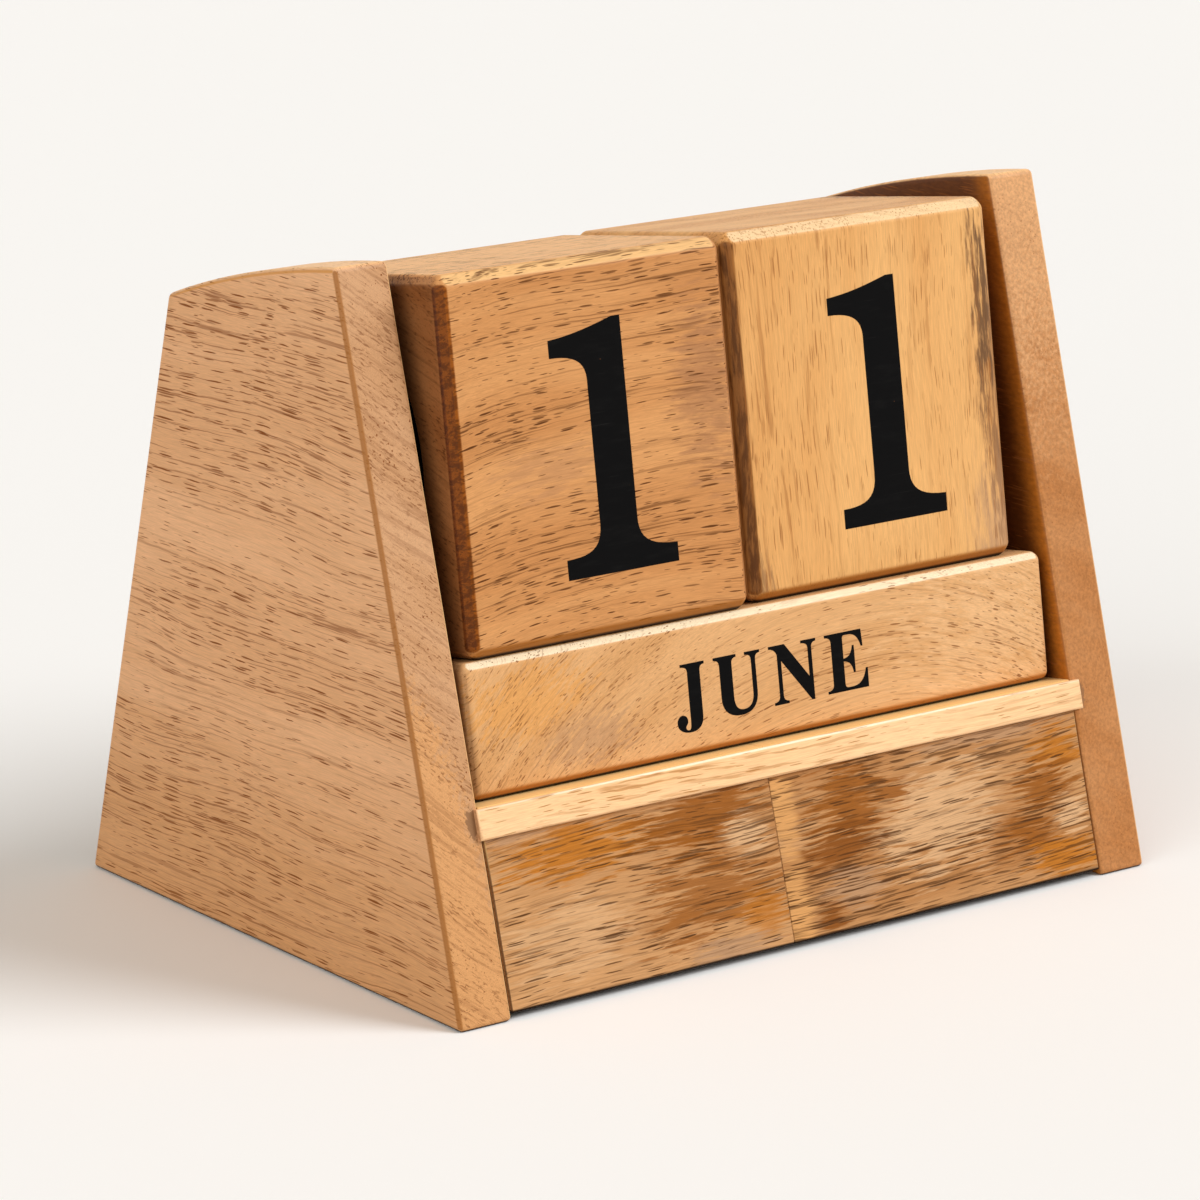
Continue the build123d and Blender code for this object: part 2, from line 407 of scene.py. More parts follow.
def boardPlanes(node):
    # the flat faces that bound a CAD node from outside, without its blind holes
    found = {}
    for face in frame["nodes"][node].data.polygons:
        reach = face.center.dot(face.normal)
        way = [round(value, bench["sameWay"]) for value in face.normal]
        key = (*way, round(reach, bench["sameDepth"]))
        area, normal, distance, biggest = found.get(key, (0, None, 0, 0))
        if face.area > biggest:
            normal, distance, biggest = face.normal.copy(), reach, face.area
        found[key] = (area + face.area, normal, distance, biggest)
    smallest = bench["smallestFace"] * mm * mm
    planes = [(normal, distance) for area, normal, distance, _ in found.values() if area > smallest]
    return [plane for plane in planes if spanOf(node, plane[0])[1] < plane[1] + bench["flatness"] * mm]


def frontPlane(node):
    return min(boardPlanes(node), key=lambda plane: plane[0].y)


def sawnBoard(node):
    low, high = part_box(node)
    bm = bmesh.new()
    bmesh.ops.create_cube(bm, size=1.0)
    bmesh.ops.scale(bm, vec=(high - low) * bench["oversize"], verts=bm.verts)
    bmesh.ops.translate(bm, vec=(low + high) / 2, verts=bm.verts)
    for normal, distance in boardPlanes(node):
        bmesh.ops.bisect_plane(
            bm,
            geom=bm.verts[:] + bm.edges[:] + bm.faces[:],
            dist=bench["weld"] * mm,
            plane_co=normal * distance,
            plane_no=normal,
            clear_outer=True,
        )
        rim = [edge for edge in bm.edges if edge.is_boundary]
        bmesh.ops.holes_fill(bm, edges=rim, sides=0)
    bmesh.ops.recalc_face_normals(bm, faces=bm.faces[:])
    return bm


def squaredStock(node, axes):
    # a box as large as the node along three square axes
    spans = [spanOf(node, axis) for axis in axes]
    bm = bmesh.new()
    bmesh.ops.create_cube(bm, size=1.0)
    size = [high - low for low, high in spans]
    centre = sum(((low + high) / 2 * axis for (low, high), axis in zip(spans, axes)), Vector())
    bmesh.ops.scale(bm, vec=size, verts=bm.verts)
    turn = Matrix(axes).transposed()
    bmesh.ops.transform(bm, matrix=Matrix.Translation(centre) @ turn.to_4x4(), verts=bm.verts)
    return bm


def easeEdges(bm, cut, pick=None):
    # a cut has its width in mm, the least turn between the faces in degrees, and the varnish that it holds
    layer = bm.faces.layers.float.get("arris") or bm.faces.layers.float.new("arris")
    least = math.radians(cut["least"])
    edges = [edge for edge in bm.edges if edge.calc_face_angle(0.0) > least]
    made = bmesh.ops.bevel(
        bm,
        geom=[edge for edge in edges if pick is None or pick(edge)],
        offset=cut["width"] * mm,
        offset_type="OFFSET",
        segments=cut["segments"],
        profile=0.5,
        affect="EDGES",
        clamp_overlap=True,
        material=-1,
    )
    # varnish gathers on the eased edges, but not where they look up
    for face in made["faces"]:
        face[layer] = cut["varnish"] if face.normal.z < bench["upward"] else 0.0
        face.smooth = cut["segments"] > 1


def finishPiece(bm, name, finish, body, nodes=()):
    mesh = bpy.data.meshes.new(name)
    bm.to_mesh(mesh)
    bm.free()
    mesh.materials.append(finish)
    piece = bpy.data.objects.new(name, mesh)
    scene.collection.objects.link(piece)
    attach(piece, body)
    if nodes:
        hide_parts(*nodes)


# stains and painted light or shade, in mm: a blot is placed from the front, a painted side light or shade
# by the way that the face looks
wideLevel = 900  # far past every piece
wholePiece = dict(at=(0, 0, 50), size=(wideLevel,) * 3, ragged=0.0)
solid = dict(share=0.93, core=0.40, ragged=0.60)


def blot(x, z, wide, tall, colour, **spread):
    return dict(at=(x, 0, z), size=(wide, wideLevel, tall), colour=colour, **spread)


def solidBlot(x, z, wide, tall, colour, **spread):
    return blot(x, z, wide, tall, colour, **dict(solid, **spread))


# painted light or shade: a colour taken by every face that looks one way, for how light falls on it
def paintedSideLight(colour, share, **spread):
    return dict(wholePiece, colour=colour, share=share, **spread)


# side panels
# painted shade: the panels' inner faces, shaded by the blocks and bars, are coloured dark brown all over
insideShadeBrown = (0.085, 0.020, 0.0015)
insideShadeShare = 0.96
glueBrown = (0.27, 0.140, 0.066)
dryGlue = dict(ragged=0.35, core=0.75, facing=(0, -1, 0))
# painted light: the panels' tops are coloured paler, as lit from above
litPanelTop = paintedSideLight((0.92, 0.56, 0.265), 0.85, facing=(0, 0.25, 0.97), turn=(0.6, 0.9))
# painted shade along the left panel's outer top and front arrises, painted highlight along the right
# panel's front outer arris
shadedTopArris = paintedSideLight((0.64, 0.29, 0.07), 0.8, facing=(-0.92, 0, 0.39), turn=(0.955, 0.99))
shadedOuterArris = paintedSideLight((0.38, 0.15, 0.035), 0.88, facing=(-0.75, -0.66, 0.15), turn=(0.82, 0.96))
litOuterArris = paintedSideLight((1.0, 0.66, 0.34), 0.5, facing=(0.75, -0.66, 0.15), turn=(0.82, 0.96))
# painted shadow: near-black along the panels' bottom arrises, where they meet the floor
sideFootShade = paintedSideLight((0.030, 0.012, 0.004), 0.95, facing=(-0.5, 0, -0.87), turn=(0.74, 0.92))
frontFootShade = dict(sideFootShade, facing=(0, -0.5, -0.87))
# painted highlight: a bright line on the left panel's front face along its inner edge
innerRimHighlight = blot(
    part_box("left_side_panel")[1].x / mm, 50, 0.55, wideLevel, (1.0, 0.64, 0.28),
    share=0.8, ragged=0.0, core=0.4, facing=(0.2, -0.95, 0.2), turn=(0.5, 0.8),
)
# painted light: a lighter strip along the front of the right panel's inner face, over its painted shade
panelFront, frontReach = frontPlane("right_side_panel")
litFrontMargin = dict(
    at=(0, -frontReach / mm, 0), size=(wideLevel, 5.2, wideLevel), colour=(0.44, 0.145, 0.016), share=0.85,
    lean=math.atan2(panelFront.z, -panelFront.y), ragged=0.05, core=0.0, facing=(-1, 0, 0),
)
leftPanelLook = dict(
    varnishedWood,
    grain=(0, 1, 0),
    rings=(0.64, 0, 0.77),
    light=(0.81, 0.465, 0.248),
    dark=(0.73, 0.398, 0.195),
    pore=(0.23, 0.066, 0.010),
    poreDark=1.0,
    lineSize=(34.0, 1.2, 0.26),
    lineEdge=(0.56, 0.66),
    lineDark=0.52,
    endTint=(0.79, 0.78, 0.76),
    patches=(
        # painted shade: the left panel darker towards the bottom
        blot(-63, 0, wideLevel, 42, (0.60, 0.300, 0.115), share=0.6, ragged=0.1, core=0.0),
        blot(-66, 0, 13, 50, (0.88, 0.450, 0.180), share=0.8, ragged=0.12, core=0.85, facing=(0, -1, 0)),
        paintedSideLight(insideShadeBrown, insideShadeShare, facing=(1, 0, 0)),
        litPanelTop,
    ),
    glueAndPaintedLight=(
        blot(-56.2, 26.9, 1.1, 2.6, glueBrown, share=0.9, **dryGlue),
        innerRimHighlight,
        shadedOuterArris,
        shadedTopArris,
        sideFootShade,
        frontFootShade,
    ),
)
rightPanelLook = dict(
    varnishedWood,
    grain=(0, 1, 0),
    rings=(0.5, 0, 0.86),
    shift=(40.0, 11.0, 7.0),
    light=(0.61, 0.287, 0.110),
    dark=(0.54, 0.228, 0.072),
    pore=(0.30, 0.10, 0.024),
    poreDark=0.6,
    lineDark=0.12,
    ringDark=0.05,
    fibreSize=(1.2, 0.5, 0.5),
    fibre=0.2,
    endTint=(0.86, 0.82, 0.77),
    patches=(
        blot(59, 100, wideLevel, 42, (0.84, 0.480, 0.235), share=0.85, ragged=0.3, core=0.1),
        paintedSideLight(insideShadeBrown, insideShadeShare, facing=(-1, 0, 0)),
        litFrontMargin,
        litPanelTop,
    ),
    glueAndPaintedLight=(
        litOuterArris,
        blot(56.4, 26.6, 0.9, 2.2, glueBrown, share=0.7, **dryGlue),
        frontFootShade,
    ),
)
panelEdge = dict(width=0.82, segments=4, least=5.0, varnish=1.0)


def makePanel(name, node, look):
    bm = sawnBoard(node)
    easeEdges(bm, panelEdge)
    finishPiece(bm, name, woodFinish(name + "Wood", look), "case", [node])


makePanel("leftPanelBoard", "left_side_panel", leftPanelLook)
makePanel("rightPanelBoard", "right_side_panel", rightPanelLook)
print("side panels made")


# front boards of mottled wood: ochre and brown blots on grey-tan
boardFoot, boardTop = (corner.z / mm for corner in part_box("front_board_left"))
# painted light: the front boards' tops and the step along their top front edge are coloured pale, as lit
litBoardTop = (1.0, 0.64, 0.26)
# painted shadow: near-black for the gaps under the boards, bars and blocks
gapShadow = (0.012, 0.004, 0.001)
golden = (0.50, 0.172, 0.016)
brown = (0.305, 0.098, 0.012)
darkBrown = (0.245, 0.076, 0.010)
paleTan = (0.70, 0.430, 0.225)
greyTan = (0.49, 0.285, 0.152)
jointTan = (0.70, 0.358, 0.128)
mottledLook = dict(
    varnishedWood,
    grain=(1, 0, 0.03),
    rings=(0, -0.3, 0.95),
    light=(0.59, 0.315, 0.135),
    dark=(0.45, 0.205, 0.070),
    pore=(0.085, 0.030, 0.007),
    shine=0.05,
    poreReach=(0.22, 0.48),
    poreCrowd=(0.75, 1.10),
    lineSize=(13.0, 0.9, 0.30),
    lineEdge=(0.50, 0.66),
    lineDark=0.66,
    poreCell=(7.0, 0.38, 0.38),
    arris=(0.10, 0.042, 0.014),
    arrisShare=0.85,
    ragSize=(9.0, 0.6, 0.6),
    glueAndPaintedLight=(
        # painted light on the boards' tops and top front edge
        paintedSideLight(litBoardTop, 0.95, facing=(0, 0, 1)),
        blot(0, boardTop, wideLevel, 0.35, litBoardTop, share=0.9, ragged=0.0, core=0.6),
        # painted shadow in the gap under the boards
        blot(0, boardFoot, wideLevel, 0.50, gapShadow, share=0.97, ragged=0.0),
    ),
)
leftBoardLook = dict(
    mottledLook,
    patches=(
        blot(-42, 9, 13, 6, paleTan, share=0.6),
        solidBlot(-40, 20.6, 18, 4.4, golden),
        solidBlot(-17, 21.0, 15, 5.6, brown),
        solidBlot(-17, 10.5, 14, 8.0, brown, share=0.8, ragged=0.8),
        blot(-9, 6, 5, 4.5, golden, share=0.6),
        solidBlot(-9.5, 17.5, 5.0, 3.4, paleTan),
        solidBlot(-15, 2.5, 8.5, 2.4, greyTan),
        solidBlot(-50, 24.6, 7, 1.5, greyTan),
    ),
)
rightBoardLook = dict(
    mottledLook,
    shift=(60.0, 9.0, 15.0),
    patches=(
        blot(25, 13.5, 16, 9, paleTan, share=0.85),
        solidBlot(10, 19.0, 11.5, 7.0, brown),
        solidBlot(7, 12.5, 8, 5.0, darkBrown),
        solidBlot(8, 7, 7, 3.8, greyTan, share=0.8),
        solidBlot(3.5, 3, 3.4, 3.4, darkBrown),
        blot(-2.6, 20, 3.2, 8, jointTan, share=0.9, ragged=0.3),
        blot(-2.6, 5, 3.6, 9, jointTan, share=0.85, ragged=0.3),
        solidBlot(38, 24.2, 19, 2.3, greyTan, share=0.8),
        solidBlot(50, 19.8, 6.5, 4, golden),
        solidBlot(46, 15, 8.5, 4.4, brown),
        solidBlot(42.5, 8.5, 8.5, 4.6, brown),
        solidBlot(48.5, 4, 9.5, 3.8, golden),
        solidBlot(51, 10, 4.2, 3, paleTan),
    ),
)
innerLook = dict(
    varnishedWood,
    grain=(1, 0, 0),
    rings=(0, -0.3, 0.95),
    shift=(13.0, 60.0, 21.0),
    light=(0.60, 0.32, 0.145),
    dark=(0.51, 0.255, 0.105),
    pore=(0.22, 0.085, 0.022),
)
boardEdge = dict(width=0.22, segments=3, least=50.0, varnish=1.0)
boardJoint = dict(width=0.10, segments=1, least=30.0, varnish=0.35)


def makeBoard(name, node, finish, slot):
    bm = sawnBoard(node)
    low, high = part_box(node)
    nearJoint = abs(low.x + high.x) / 4
    top = spanOf(node, seatUp)[1] - bench["slack"] * mm

    def atJoint(edge):
        return all(abs(vertex.co.x) < nearJoint for vertex in edge.verts)

    def belowTop(edge):
        return any(vertex.co.dot(seatUp) < top for vertex in edge.verts)

    if slot == "mottled_wood":
        # the two boards meet in a fine line
        easeEdges(bm, boardJoint, atJoint)
    easeEdges(bm, boardEdge, belowTop)
    finishPiece(bm, name, finish, "case", [node])


innerWood = woodFinish("innerWood", innerLook)
leftMottled = woodFinish("leftMottledWood", leftBoardLook)
rightMottled = woodFinish("rightMottledWood", rightBoardLook)
makeBoard("frontBoardLeft", "front_board_left", leftMottled, "mottled_wood")
makeBoard("frontBoardRight", "front_board_right", rightMottled, "mottled_wood")
makeBoard("seatBoard", "seat_board", innerWood, "inner_wood")
makeBoard("backBoard", "back_board", innerWood, "inner_wood")
for node in ("front_board_dowels", "front_joint_dowels", "seat_dowels", "back_board_dowels"):
    pins = frame["nodes"][node]
    pins.data.materials.clear()
    pins.data.materials.append(innerWood)
print("boards made")


# ledge strip on the front slope
ledgeLook = dict(
    varnishedWood,
    grain=(1, 0, 0),
    rings=(0, -0.5, 0.8),
    shift=(5.0, 3.0, 17.0),
    light=(0.98, 0.635, 0.345),
    dark=(0.92, 0.545, 0.252),
    pore=(0.48, 0.200, 0.045),
    lineSize=(15.0, 1.1, 0.42),
    lineEdge=(0.53, 0.64),
    lineDark=0.70,
    endTint=(0.60, 0.52, 0.48),
    # painted highlight: the ledge's top and top front arris coloured near white
    patches=(paintedSideLight((1.0, 0.88, 0.66), 0.92, facing=(0, -0.5, 0.85), turn=(0.8, 0.95)),),
)
ledgeEdge = dict(width=0.4, segments=4, least=5.0, varnish=1.0)


def makeLedge(name, node, look):
    slopeOut = frontPlane("front_board_left")[0]
    bm = squaredStock(node, (across, -slopeOut, across.cross(-slopeOut)))
    face = spanOf(node, slopeOut)[1] - bench["slack"] * mm

    def onFace(edge):
        return all(vertex.co.dot(slopeOut) > face for vertex in edge.verts)

    easeEdges(bm, ledgeEdge, onFace)
    finishPiece(bm, name, woodFinish("paleWood", look), "case", [node])


makeLedge("ledgeLath", "ledge_strip", ledgeLook)
print("ledge made")


# month bars and number blocks; their upper front arrises carry a painted highlight
litUpperArris = dict(facing=(0, -0.6, 0.8), turn=(0.9, 0.97))
# painted shade on the blocks' left front chamfers, which face away from the light, with darker streaks
# along the grain
shadedLeftChamfer = dict(facing=(-0.7, -0.7, 0.1), turn=(0.85, 0.95))
shadedLeftStreaks = dict(shadedLeftChamfer, ragged=2.0, core=-1.0)  # along the grain
# painted shade: the lower front chamfers of bars and blocks are coloured dark orange-brown, with a painted
# shadow line at their foot
footShade = paintedSideLight((0.40, 0.135, 0.012), 0.82, facing=(0, -0.6, -0.8), turn=(0.6, 0.92))
footShadowLine = dict(footShade, colour=gapShadow, share=0.98, turn=(0.5, 0.8))
barLook = dict(
    varnishedWood,
    grain=(1, 0, 0),
    rings=(0, -0.3, 0.95),
    arch=(15.0, 0.0066),
    light=(0.75, 0.425, 0.190),
    dark=(0.66, 0.345, 0.135),
    pore=(0.27, 0.10, 0.026),
    poreCell=(4.0, 0.34, 0.34),
    poreReach=(0.13, 0.40),
    patches=(
        blot(-43, 41, 13, 6, (0.76, 0.360, 0.098), share=0.7),
        blot(-33, 35, 9, 4.5, (0.50, 0.275, 0.138), share=0.65),
        blot(42, 38, 24, 14, (0.86, 0.53, 0.27), share=0.6, core=0.1),
        # painted highlight on the upper front arris
        paintedSideLight((0.96, 0.82, 0.58), 0.85, **litUpperArris),
    ),
)
leftBlockLook = dict(
    varnishedWood,
    grain=(1, 0, 0),
    rings=(0, -0.3, 0.95),
    shift=(31.0, 2.0, 40.0),
    arch=(-16.0, 0.0024),
    light=(0.69, 0.338, 0.128),
    dark=(0.58, 0.258, 0.088),
    pore=(0.125, 0.040, 0.008),
    poreDark=1.0,
    lineDark=0.55,
    shine=0.08,
    poreCell=(4.6, 0.36, 0.36),
    endTint=(0.42, 0.34, 0.30),
    endPores=0.3,
    patches=(
        blot(-7, 80, 8, 17, (0.36, 0.165, 0.078), share=0.6, ragged=0.5, core=0.2),
        blot(-35, 73, 12, 5, (0.49, 0.240, 0.110), share=0.5, core=0.2),
        # painted highlights on the top and upper front arris, painted shade on the left chamfer
        paintedSideLight((0.95, 0.55, 0.23), 0.7, facing=(0, 0.15, 0.99), turn=(0.9, 0.97)),
        paintedSideLight((0.92, 0.60, 0.27), 0.65, **litUpperArris),
        paintedSideLight((0.30, 0.078, 0.004), 0.95, **shadedLeftChamfer),
        paintedSideLight((0.095, 0.022, 0.002), 0.7, **shadedLeftStreaks),
    ),
)
rightBlockLook = dict(
    varnishedWood,
    grain=tuple(seatUp),
    rings=(0.25, 1, 0),
    shift=(77.0, 20.0, 4.0),
    light=(0.82, 0.455, 0.170),
    dark=(0.72, 0.355, 0.115),
    pore=(0.36, 0.135, 0.032),
    poreDark=0.75,
    endTint=(1.02, 1.03, 1.06),
    endPores=0.2,
    patches=(
        blot(24, 42, 36, 17, (0.62, 0.310, 0.100), share=0.55, ragged=0.2, core=0.0),
        blot(48.5, 76, 5.5, 36, (0.44, 0.215, 0.080), share=0.9, ragged=0.4, core=0.1),
        blot(49.0, 50, 10, 19, (0.53, 0.300, 0.155), share=0.85, ragged=0.30, core=0.2),
        blot(47.0, 85, 2.4, 17, (0.105, 0.050, 0.024), share=0.8, ragged=0.75, core=0.1),
        blot(47.5, 63, 2.6, 13, (0.24, 0.110, 0.045), share=0.55, ragged=0.7, core=0.1),
        blot(1.5, 51, 2.4, 5, (0.20, 0.100, 0.050), share=0.6, ragged=0.7, core=0.1),
        # painted highlight on the upper front arris, painted shade on the left chamfer
        paintedSideLight((0.92, 0.68, 0.40), 0.75, **litUpperArris),
        paintedSideLight((0.31, 0.110, 0.020), 0.85, **shadedLeftChamfer),
        paintedSideLight((0.085, 0.026, 0.005), 0.7, **shadedLeftStreaks),
    ),
)
barChamfer = dict(width=1.0, segments=1, least=30.0, varnish=1.0)
blockChamfer = dict(barChamfer, width=1.5)
stockEdge = dict(width=0.45, segments=4, least=20.0, varnish=0.6)
footShadowReach = 0.55  # height of the painted shadow line at the foot, as a share of the chamfer
barStep = (31.0, 17.0, 9.0)  # mm from bar to bar through the same wood


def stockFootShade(node, chamfer):
    # painted shade: the lower front chamfer darkens to a painted shadow line where the piece sits
    sill = seatBack * (spanOf(node, seatBack)[0] + chamfer["width"] * mm) + seatUp * spanOf(node, seatUp)[0]
    level = (wideLevel, wideLevel, chamfer["width"] * footShadowReach)
    return footShade, dict(footShadowLine, at=(0, 0, sill.z / mm), size=level)


def makeStock(name, node, body, look, chamfer):
    bm = squaredStock(node, (across, seatBack, seatUp))
    easeEdges(bm, chamfer)
    easeEdges(bm, stockEdge)
    finish = woodFinish(name + "Wood", dict(look, glueAndPaintedLight=stockFootShade(node, chamfer)))
    finishPiece(bm, name, finish, body, [node])


for place, position in enumerate(("front", "middle", "rear")):
    look = dict(barLook, shift=tuple(place * step for step in barStep))
    node = "month_bar_" + position
    makeStock(position + "MonthBar", node, position + "_bar", look, barChamfer)
blockLooks = dict(left=(leftBlockLook, "tan_block_wood"), right=(rightBlockLook, "honey_block_wood"))
for side, (look, slot) in blockLooks.items():
    makeStock(side + "NumberBlock", "number_block_" + side, side + "_block", look, blockChamfer)
print("bars and blocks made")


# printed marks: outlines; two numbers end a line there, six are a curve's handles and its end
glyphTall = 100


def oval(x, y, wide, tall):
    bow = 4 / 3 * (math.sqrt(2) - 1)
    quarters = ((1, 0, 0, 1), (0, 1, -1, 0), (-1, 0, 0, -1), (0, -1, 1, 0))
    return [
        (
            x + wide * (a + bow * c), y + tall * (b + bow * d),
            x + wide * (c + bow * a), y + tall * (d + bow * b),
            x + wide * c, y + tall * d,
        )
        for a, b, c, d in quarters
    ]


glyphs = {
    "0": [oval(31, 50, 31, 51), oval(31, 50, 13, 44)],
    "1": [[
        (0, 94), (13, 95, 22, 97.5, 31.4, 100), (35.4, 100), (35.6, 20), (35.6, 12, 40, 8, 54.2, 7.6),
        (54.2, 0),
        (0, 0), (0, 8), (11.5, 8, 17.4, 10.5, 17.4, 20), (17.2, 77), (17, 84.5, 11, 87, 0, 87),
    ]],
    "2": [[
        (2, 0), (57, 0), (61, 28), (57, 28), (55, 20, 52, 17.5, 45, 17.5), (22, 17.5),
        (38, 30, 59, 46, 59, 72),
        (59, 90, 47, 101, 30, 101), (13, 101, 3, 90, 3, 78), (3, 71, 8, 67, 14, 67),
        (20, 67, 25, 71, 25, 77.5),
        (25, 83, 19, 85, 19, 89), (19, 93, 23, 95.5, 27, 95.5), (35, 95.5, 39, 87, 39, 73),
        (39, 50, 24, 33, 2, 7.5),
    ]],
    "3": [[
        (8, 69, 4, 73.5, 4, 80), (4, 92, 15, 101, 30, 101), (46, 101, 56, 92, 56, 78),
        (56, 65, 49, 57, 38, 53.5),
        (52, 50, 60, 41, 60, 27), (60, 10, 47, -1, 29, -1), (12, -1, 1, 8, 1, 20),
        (1, 27, 6, 32, 12.5, 32),
        (19, 32, 24, 27.5, 24, 21), (24, 15, 17, 13, 17, 9.5), (17, 6, 22, 4.5, 26, 4.5),
        (35, 4.5, 39.5, 13, 39.5, 27),
        (39.5, 42, 33, 50, 19, 50), (19, 55), (31, 55, 36.5, 63, 36.5, 77),
        (36.5, 89, 33, 95.5, 26, 95.5),
        (22, 95.5, 18.5, 94, 18.5, 91), (18.5, 87.5, 24.5, 86, 24.5, 79.5), (24.5, 73, 20, 69, 14, 69),
    ]],
    "4": [
        [
            (30, 0), (66, 0), (66, 5), (60, 5, 57.5, 8, 57.5, 13), (57.5, 24), (68, 24), (68, 33),
            (57.5, 33),
            (57.5, 100), (47, 100), (0, 31), (0, 24), (38.5, 24), (38.5, 13), (38.5, 8, 36, 5, 30, 5),
        ],
        [(9, 33), (38.5, 33), (38.5, 76)],
    ],
    "7": [[
        (2, 72), (6.5, 72), (9, 80, 13, 82.5, 21, 82.5), (46, 82.5), (33, 62, 18, 40, 17, 3), (19, -1),
        (34, -1),
        (37, 3), (38, 40, 46, 64, 61, 90), (61, 100), (5, 100),
    ]],
    "8": [
        [
            (45, 101, 55, 92, 55, 78), (55, 67, 49, 59, 41, 54), (53, 48, 60, 39, 60, 27),
            (60, 9, 47, -1, 29, -1),
            (11, -1, 0, 9, 0, 25), (0, 37, 7, 46, 17, 51), (8, 56, 3, 65, 3, 76),
            (3, 91, 13, 101, 29, 101),
        ],
        oval(31, 79, 11, 17),
        oval(27, 26, 13.5, 20),
    ],
    "J": [[
        (14, 100), (64, 100), (64, 95.5), (57, 95, 54, 92, 54, 85), (54, 12), (54, -6, 44, -14, 27, -14),
        (12, -14, 0, -8, 0, 4), (0, 11, 5, 16, 11.5, 16), (18, 16, 22, 11, 22, 5.5),
        (22, 0, 17, -1, 17, -5),
        (17, -8.5, 20, -10, 23, -10), (27, -10, 28, -5, 28, 3), (28, 85), (28, 92, 25, 95, 14, 95.5),
    ]],
    "U": [[
        (0, 100), (48, 100), (48, 95.5), (41, 95, 38, 92, 38, 85), (38, 30), (38, 14, 44, 6, 57, 6),
        (71, 6, 79, 14, 79, 31), (79, 85), (79, 92, 76, 95, 66, 95.5), (66, 100), (98, 100), (98, 95.5),
        (91, 95, 88, 92, 88, 85), (88, 32), (88, 9, 75, -3, 51, -3), (26, -3, 12, 9, 12, 31), (12, 85),
        (12, 92, 8, 95, 0, 95.5),
    ]],
    "N": [[
        (0, 100), (34, 100), (83, 38), (83, 85), (83, 92, 79, 95, 69, 95.5), (69, 100), (101, 100),
        (101, 95.5),
        (94, 95, 91, 92, 91, 85), (91, -2), (85, -2), (25, 73), (25, 15), (25, 8, 29, 5, 36, 4.5), (36, 0),
        (5, 0),
        (5, 4.5), (13, 5, 17, 8, 17, 15), (17, 84), (14, 91, 9, 95, 0, 95.5),
    ]],
    "E": [[
        (0, 100), (79, 100), (81, 71), (77, 71), (73, 86, 66, 94.5, 50, 94.5), (43, 94.5),
        (39, 94.5, 38, 92, 38, 88),
        (38, 55), (50, 56, 56, 62, 58, 75), (62, 75), (62, 29), (58, 29), (56, 43, 50, 49, 38, 50),
        (38, 13),
        (38, 8, 40, 5.5, 45, 5.5), (53, 5.5), (71, 5.5, 80, 15, 84.5, 33), (88.5, 33), (88, 0), (0, 0),
        (0, 4.5),
        (9, 5, 13, 8, 13, 15), (13, 85), (13, 92, 9, 95, 0, 95.5),
    ]],
}
inkPrint = dict(
    thickness=0.06,  # mm, half of it above the wood
    numeralHeight=36.1,
    letterHeight=8.7,
    letterGap=19.0,  # in the outlines' own size
    curveSteps=10,
    weld=0.001,  # mm
    colour=(0.0036, 0.0035, 0.0037),
    wornColour=(0.8, 0.78, 0.75),
    bareWood=(0.30, 0.12, 0.04),
    chipCell=1.5,
    chipChance=(0.92, 1.0),
    chipReach=0.07,
    chipRim=0.03,
    hazeSize=(6.0, 6.0, 1.2),
    hazeNoise=(4.0, 0.65),
    hazeEdge=(0.45, 0.8),
    hazeShare=0.005,
    scratchSize=(7.0, 7.0, 0.16),
    scratchNoise=(1.0, 0.5),
    scratchEdge=(0.70, 0.80),
    scratchShare=0.012,
    roughEdge=(0.3, 0.7),
    roughness=(0.55, 0.70),
    bump=0.25,
    bumpDepth=0.04,
    shine=0.03,
)


def inkFinish(look):
    material, tree, shader = newMaterial("blackInk")
    spot = spotInMm(tree, addNode(tree, "ShaderNodeTexCoord", {}))
    cells = vectorCalc(tree, "DIVIDE", spot, (look["chipCell"],) * 3)
    chips = addNode(tree, "ShaderNodeTexVoronoi", {"Vector": cells, "Scale": 1.0})
    chance = addNode(tree, "ShaderNodeSeparateColor", {0: chips.outputs["Color"]}).outputs[0]
    reach = ease(tree, chance, *look["chipChance"], 0.0, look["chipReach"])
    chip = ease(tree, calc(tree, "SUBTRACT", chips.outputs["Distance"], reach), 0.0, -look["chipRim"])
    haze = cloud(tree, spot, look["hazeSize"], *look["hazeNoise"]).outputs[0]
    scratch = cloud(tree, spot, look["scratchSize"], *look["scratchNoise"]).outputs[0]
    dulled = ease(tree, haze, *look["hazeEdge"], 0.0, look["hazeShare"])
    scratched = ease(tree, scratch, *look["scratchEdge"], 0.0, look["scratchShare"])
    colour = mixColour(tree, calc(tree, "ADD", dulled, scratched), look["colour"], look["wornColour"])
    tree.links.new(mixColour(tree, chip, colour, look["bareWood"]), shader.inputs["Base Color"])
    rough = ease(tree, haze, *look["roughEdge"], *look["roughness"])
    tree.links.new(rough, shader.inputs["Roughness"])
    emboss(tree, shader, calc(tree, "SUBTRACT", haze, chip), look)
    shader.inputs["Specular IOR Level"].default_value = look["shine"]
    return material


def isCurve(step):
    return len(step) > 2


def traceOutline(curve, outline):
    spots = [Vector((*step[-2:], 0)) for step in outline]
    spline = curve.splines.new("BEZIER")
    spline.bezier_points.add(len(spots) - 1)
    spline.use_cyclic_u = True
    for place, knot in enumerate(spline.bezier_points):
        after = (place + 1) % len(spots)
        knot.handle_left_type = knot.handle_right_type = "FREE"
        knot.co = spots[place]
        knot.handle_left = spots[place].lerp(spots[place - 1], 1 / 3)
        knot.handle_right = spots[place].lerp(spots[after], 1 / 3)
        if isCurve(outline[place]):
            knot.handle_left = (*outline[place][2:4], 0)
        if isCurve(outline[after]):
            knot.handle_right = (*outline[after][0:2], 0)


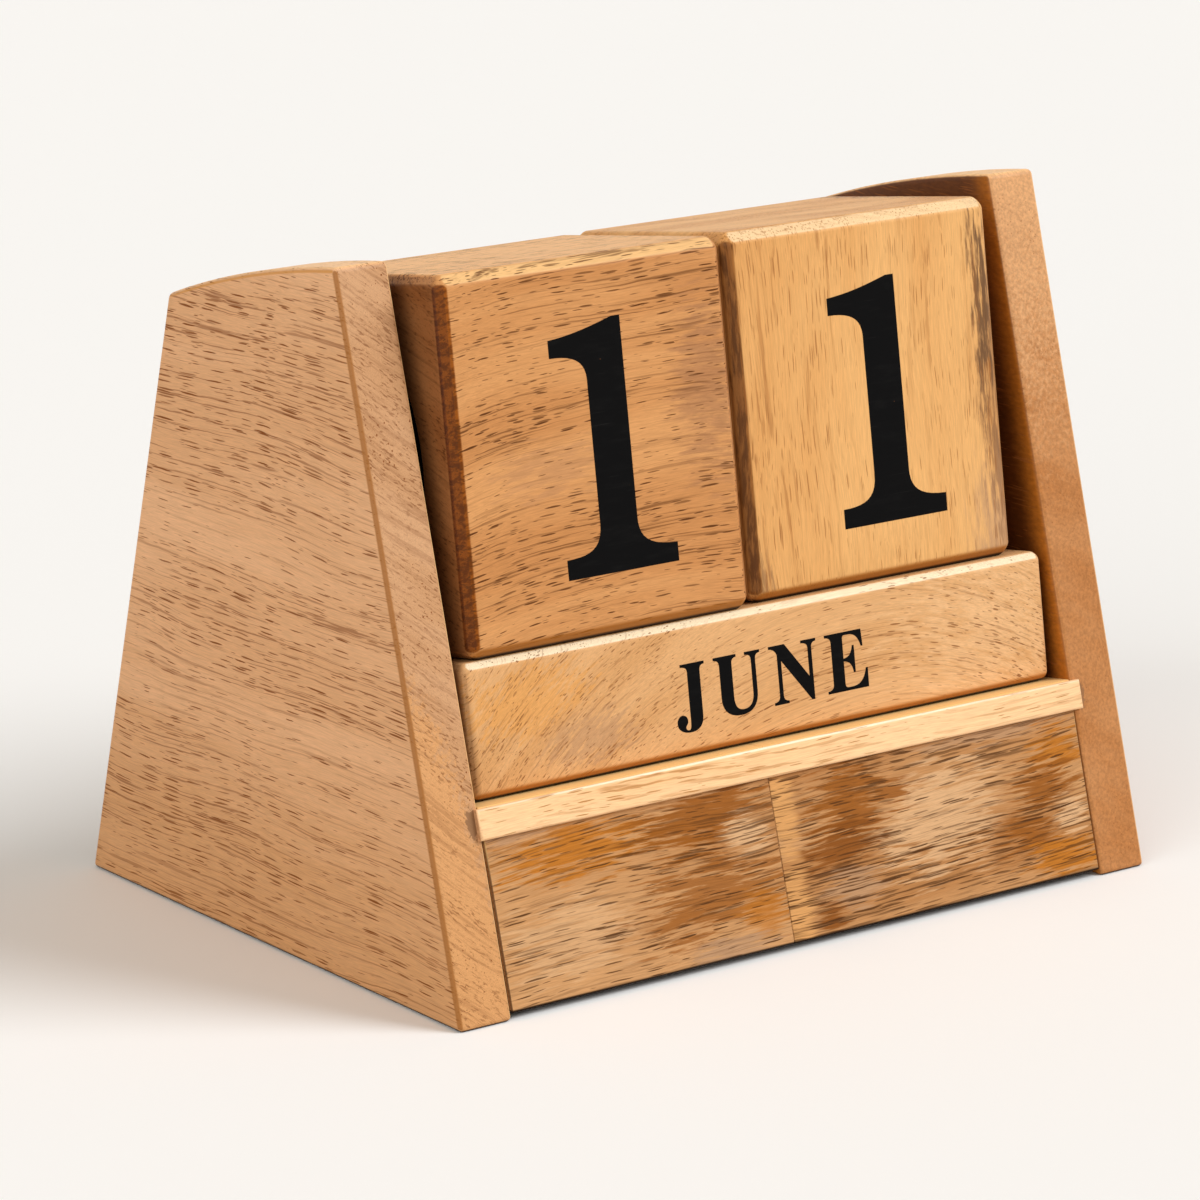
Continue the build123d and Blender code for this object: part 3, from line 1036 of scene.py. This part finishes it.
def cutGlyph(bm, sign, matrix, depth):
    curve = bpy.data.curves.new("outline", "CURVE")
    curve.dimensions = "2D"
    curve.fill_mode = "BOTH"
    curve.resolution_u = inkPrint["curveSteps"]
    curve.extrude = depth
    for outline in glyphs[sign]:
        traceOutline(curve, outline)
    holder = bpy.data.objects.new("outline", curve)
    mesh = bpy.data.meshes.new_from_object(holder)
    mesh.transform(matrix)
    bm.from_mesh(mesh)
    bpy.data.objects.remove(holder)
    bpy.data.curves.remove(curve)
    bpy.data.meshes.remove(mesh)


def glyphWidth(sign):
    return max(step[-2] for outline in glyphs[sign] for step in outline)


def printMarks(bm, text, node, right, up, height, offset):
    # lays one line of signs on the node's face that looks along right x up, centred but for the offset
    out = right.cross(up)
    reach = spanOf(node, out)[1]
    centre = out * reach + sum((axis * sum(spanOf(node, axis)) / 2 for axis in (right, up)), Vector())
    size = height * mm / glyphTall
    gap = inkPrint["letterGap"]
    run = sum(glyphWidth(sign) + gap for sign in text) - gap
    centre += right * offset[0] * mm + up * offset[1] * mm
    start = centre - right * run * size / 2 - up * height * mm / 2
    turn = Matrix((right, up, out)).transposed().to_4x4()
    for sign in text:
        matrix = Matrix.Translation(start) @ turn @ Matrix.Scale(size, 4)
        cutGlyph(bm, sign, matrix, inkPrint["thickness"] * mm / 2 / size)
        start = start + right * (glyphWidth(sign) + gap) * size


def finishMarks(bm, name, body):
    bmesh.ops.remove_doubles(bm, verts=bm.verts, dist=inkPrint["weld"] * mm)
    bmesh.ops.recalc_face_normals(bm, faces=bm.faces)
    finishPiece(bm, name, blackInk, body)


# a block's numerals go round it from the front; the shift, in mm, is the front one's
blackInk = inkFinish(inkPrint)
blockFaces = (across, seatBack, -across, -seatBack)
blockNumerals = dict(
    left=dict(signs="1230", shift=(2.5, -0.1)),
    right=dict(signs="1478", shift=(2.6, -0.5)),
)
monthName = dict(signs="JUNE", shift=(0.46, -0.7))
for side, marks in blockNumerals.items():
    bm = bmesh.new()
    for sign, right in zip(marks["signs"], blockFaces):
        shift = marks["shift"] if right is across else (0.0, marks["shift"][1])
        printMarks(bm, sign, "number_block_" + side, right, seatUp, inkPrint["numeralHeight"], shift)
    finishMarks(bm, side + "BlockNumerals", side + "_block")
bm = bmesh.new()
letterHeight = inkPrint["letterHeight"]
printMarks(bm, monthName["signs"], "month_bar_front", across, seatUp, letterHeight, monthName["shift"])
finishMarks(bm, "frontBarLetters", "front_bar")
print("marks printed")
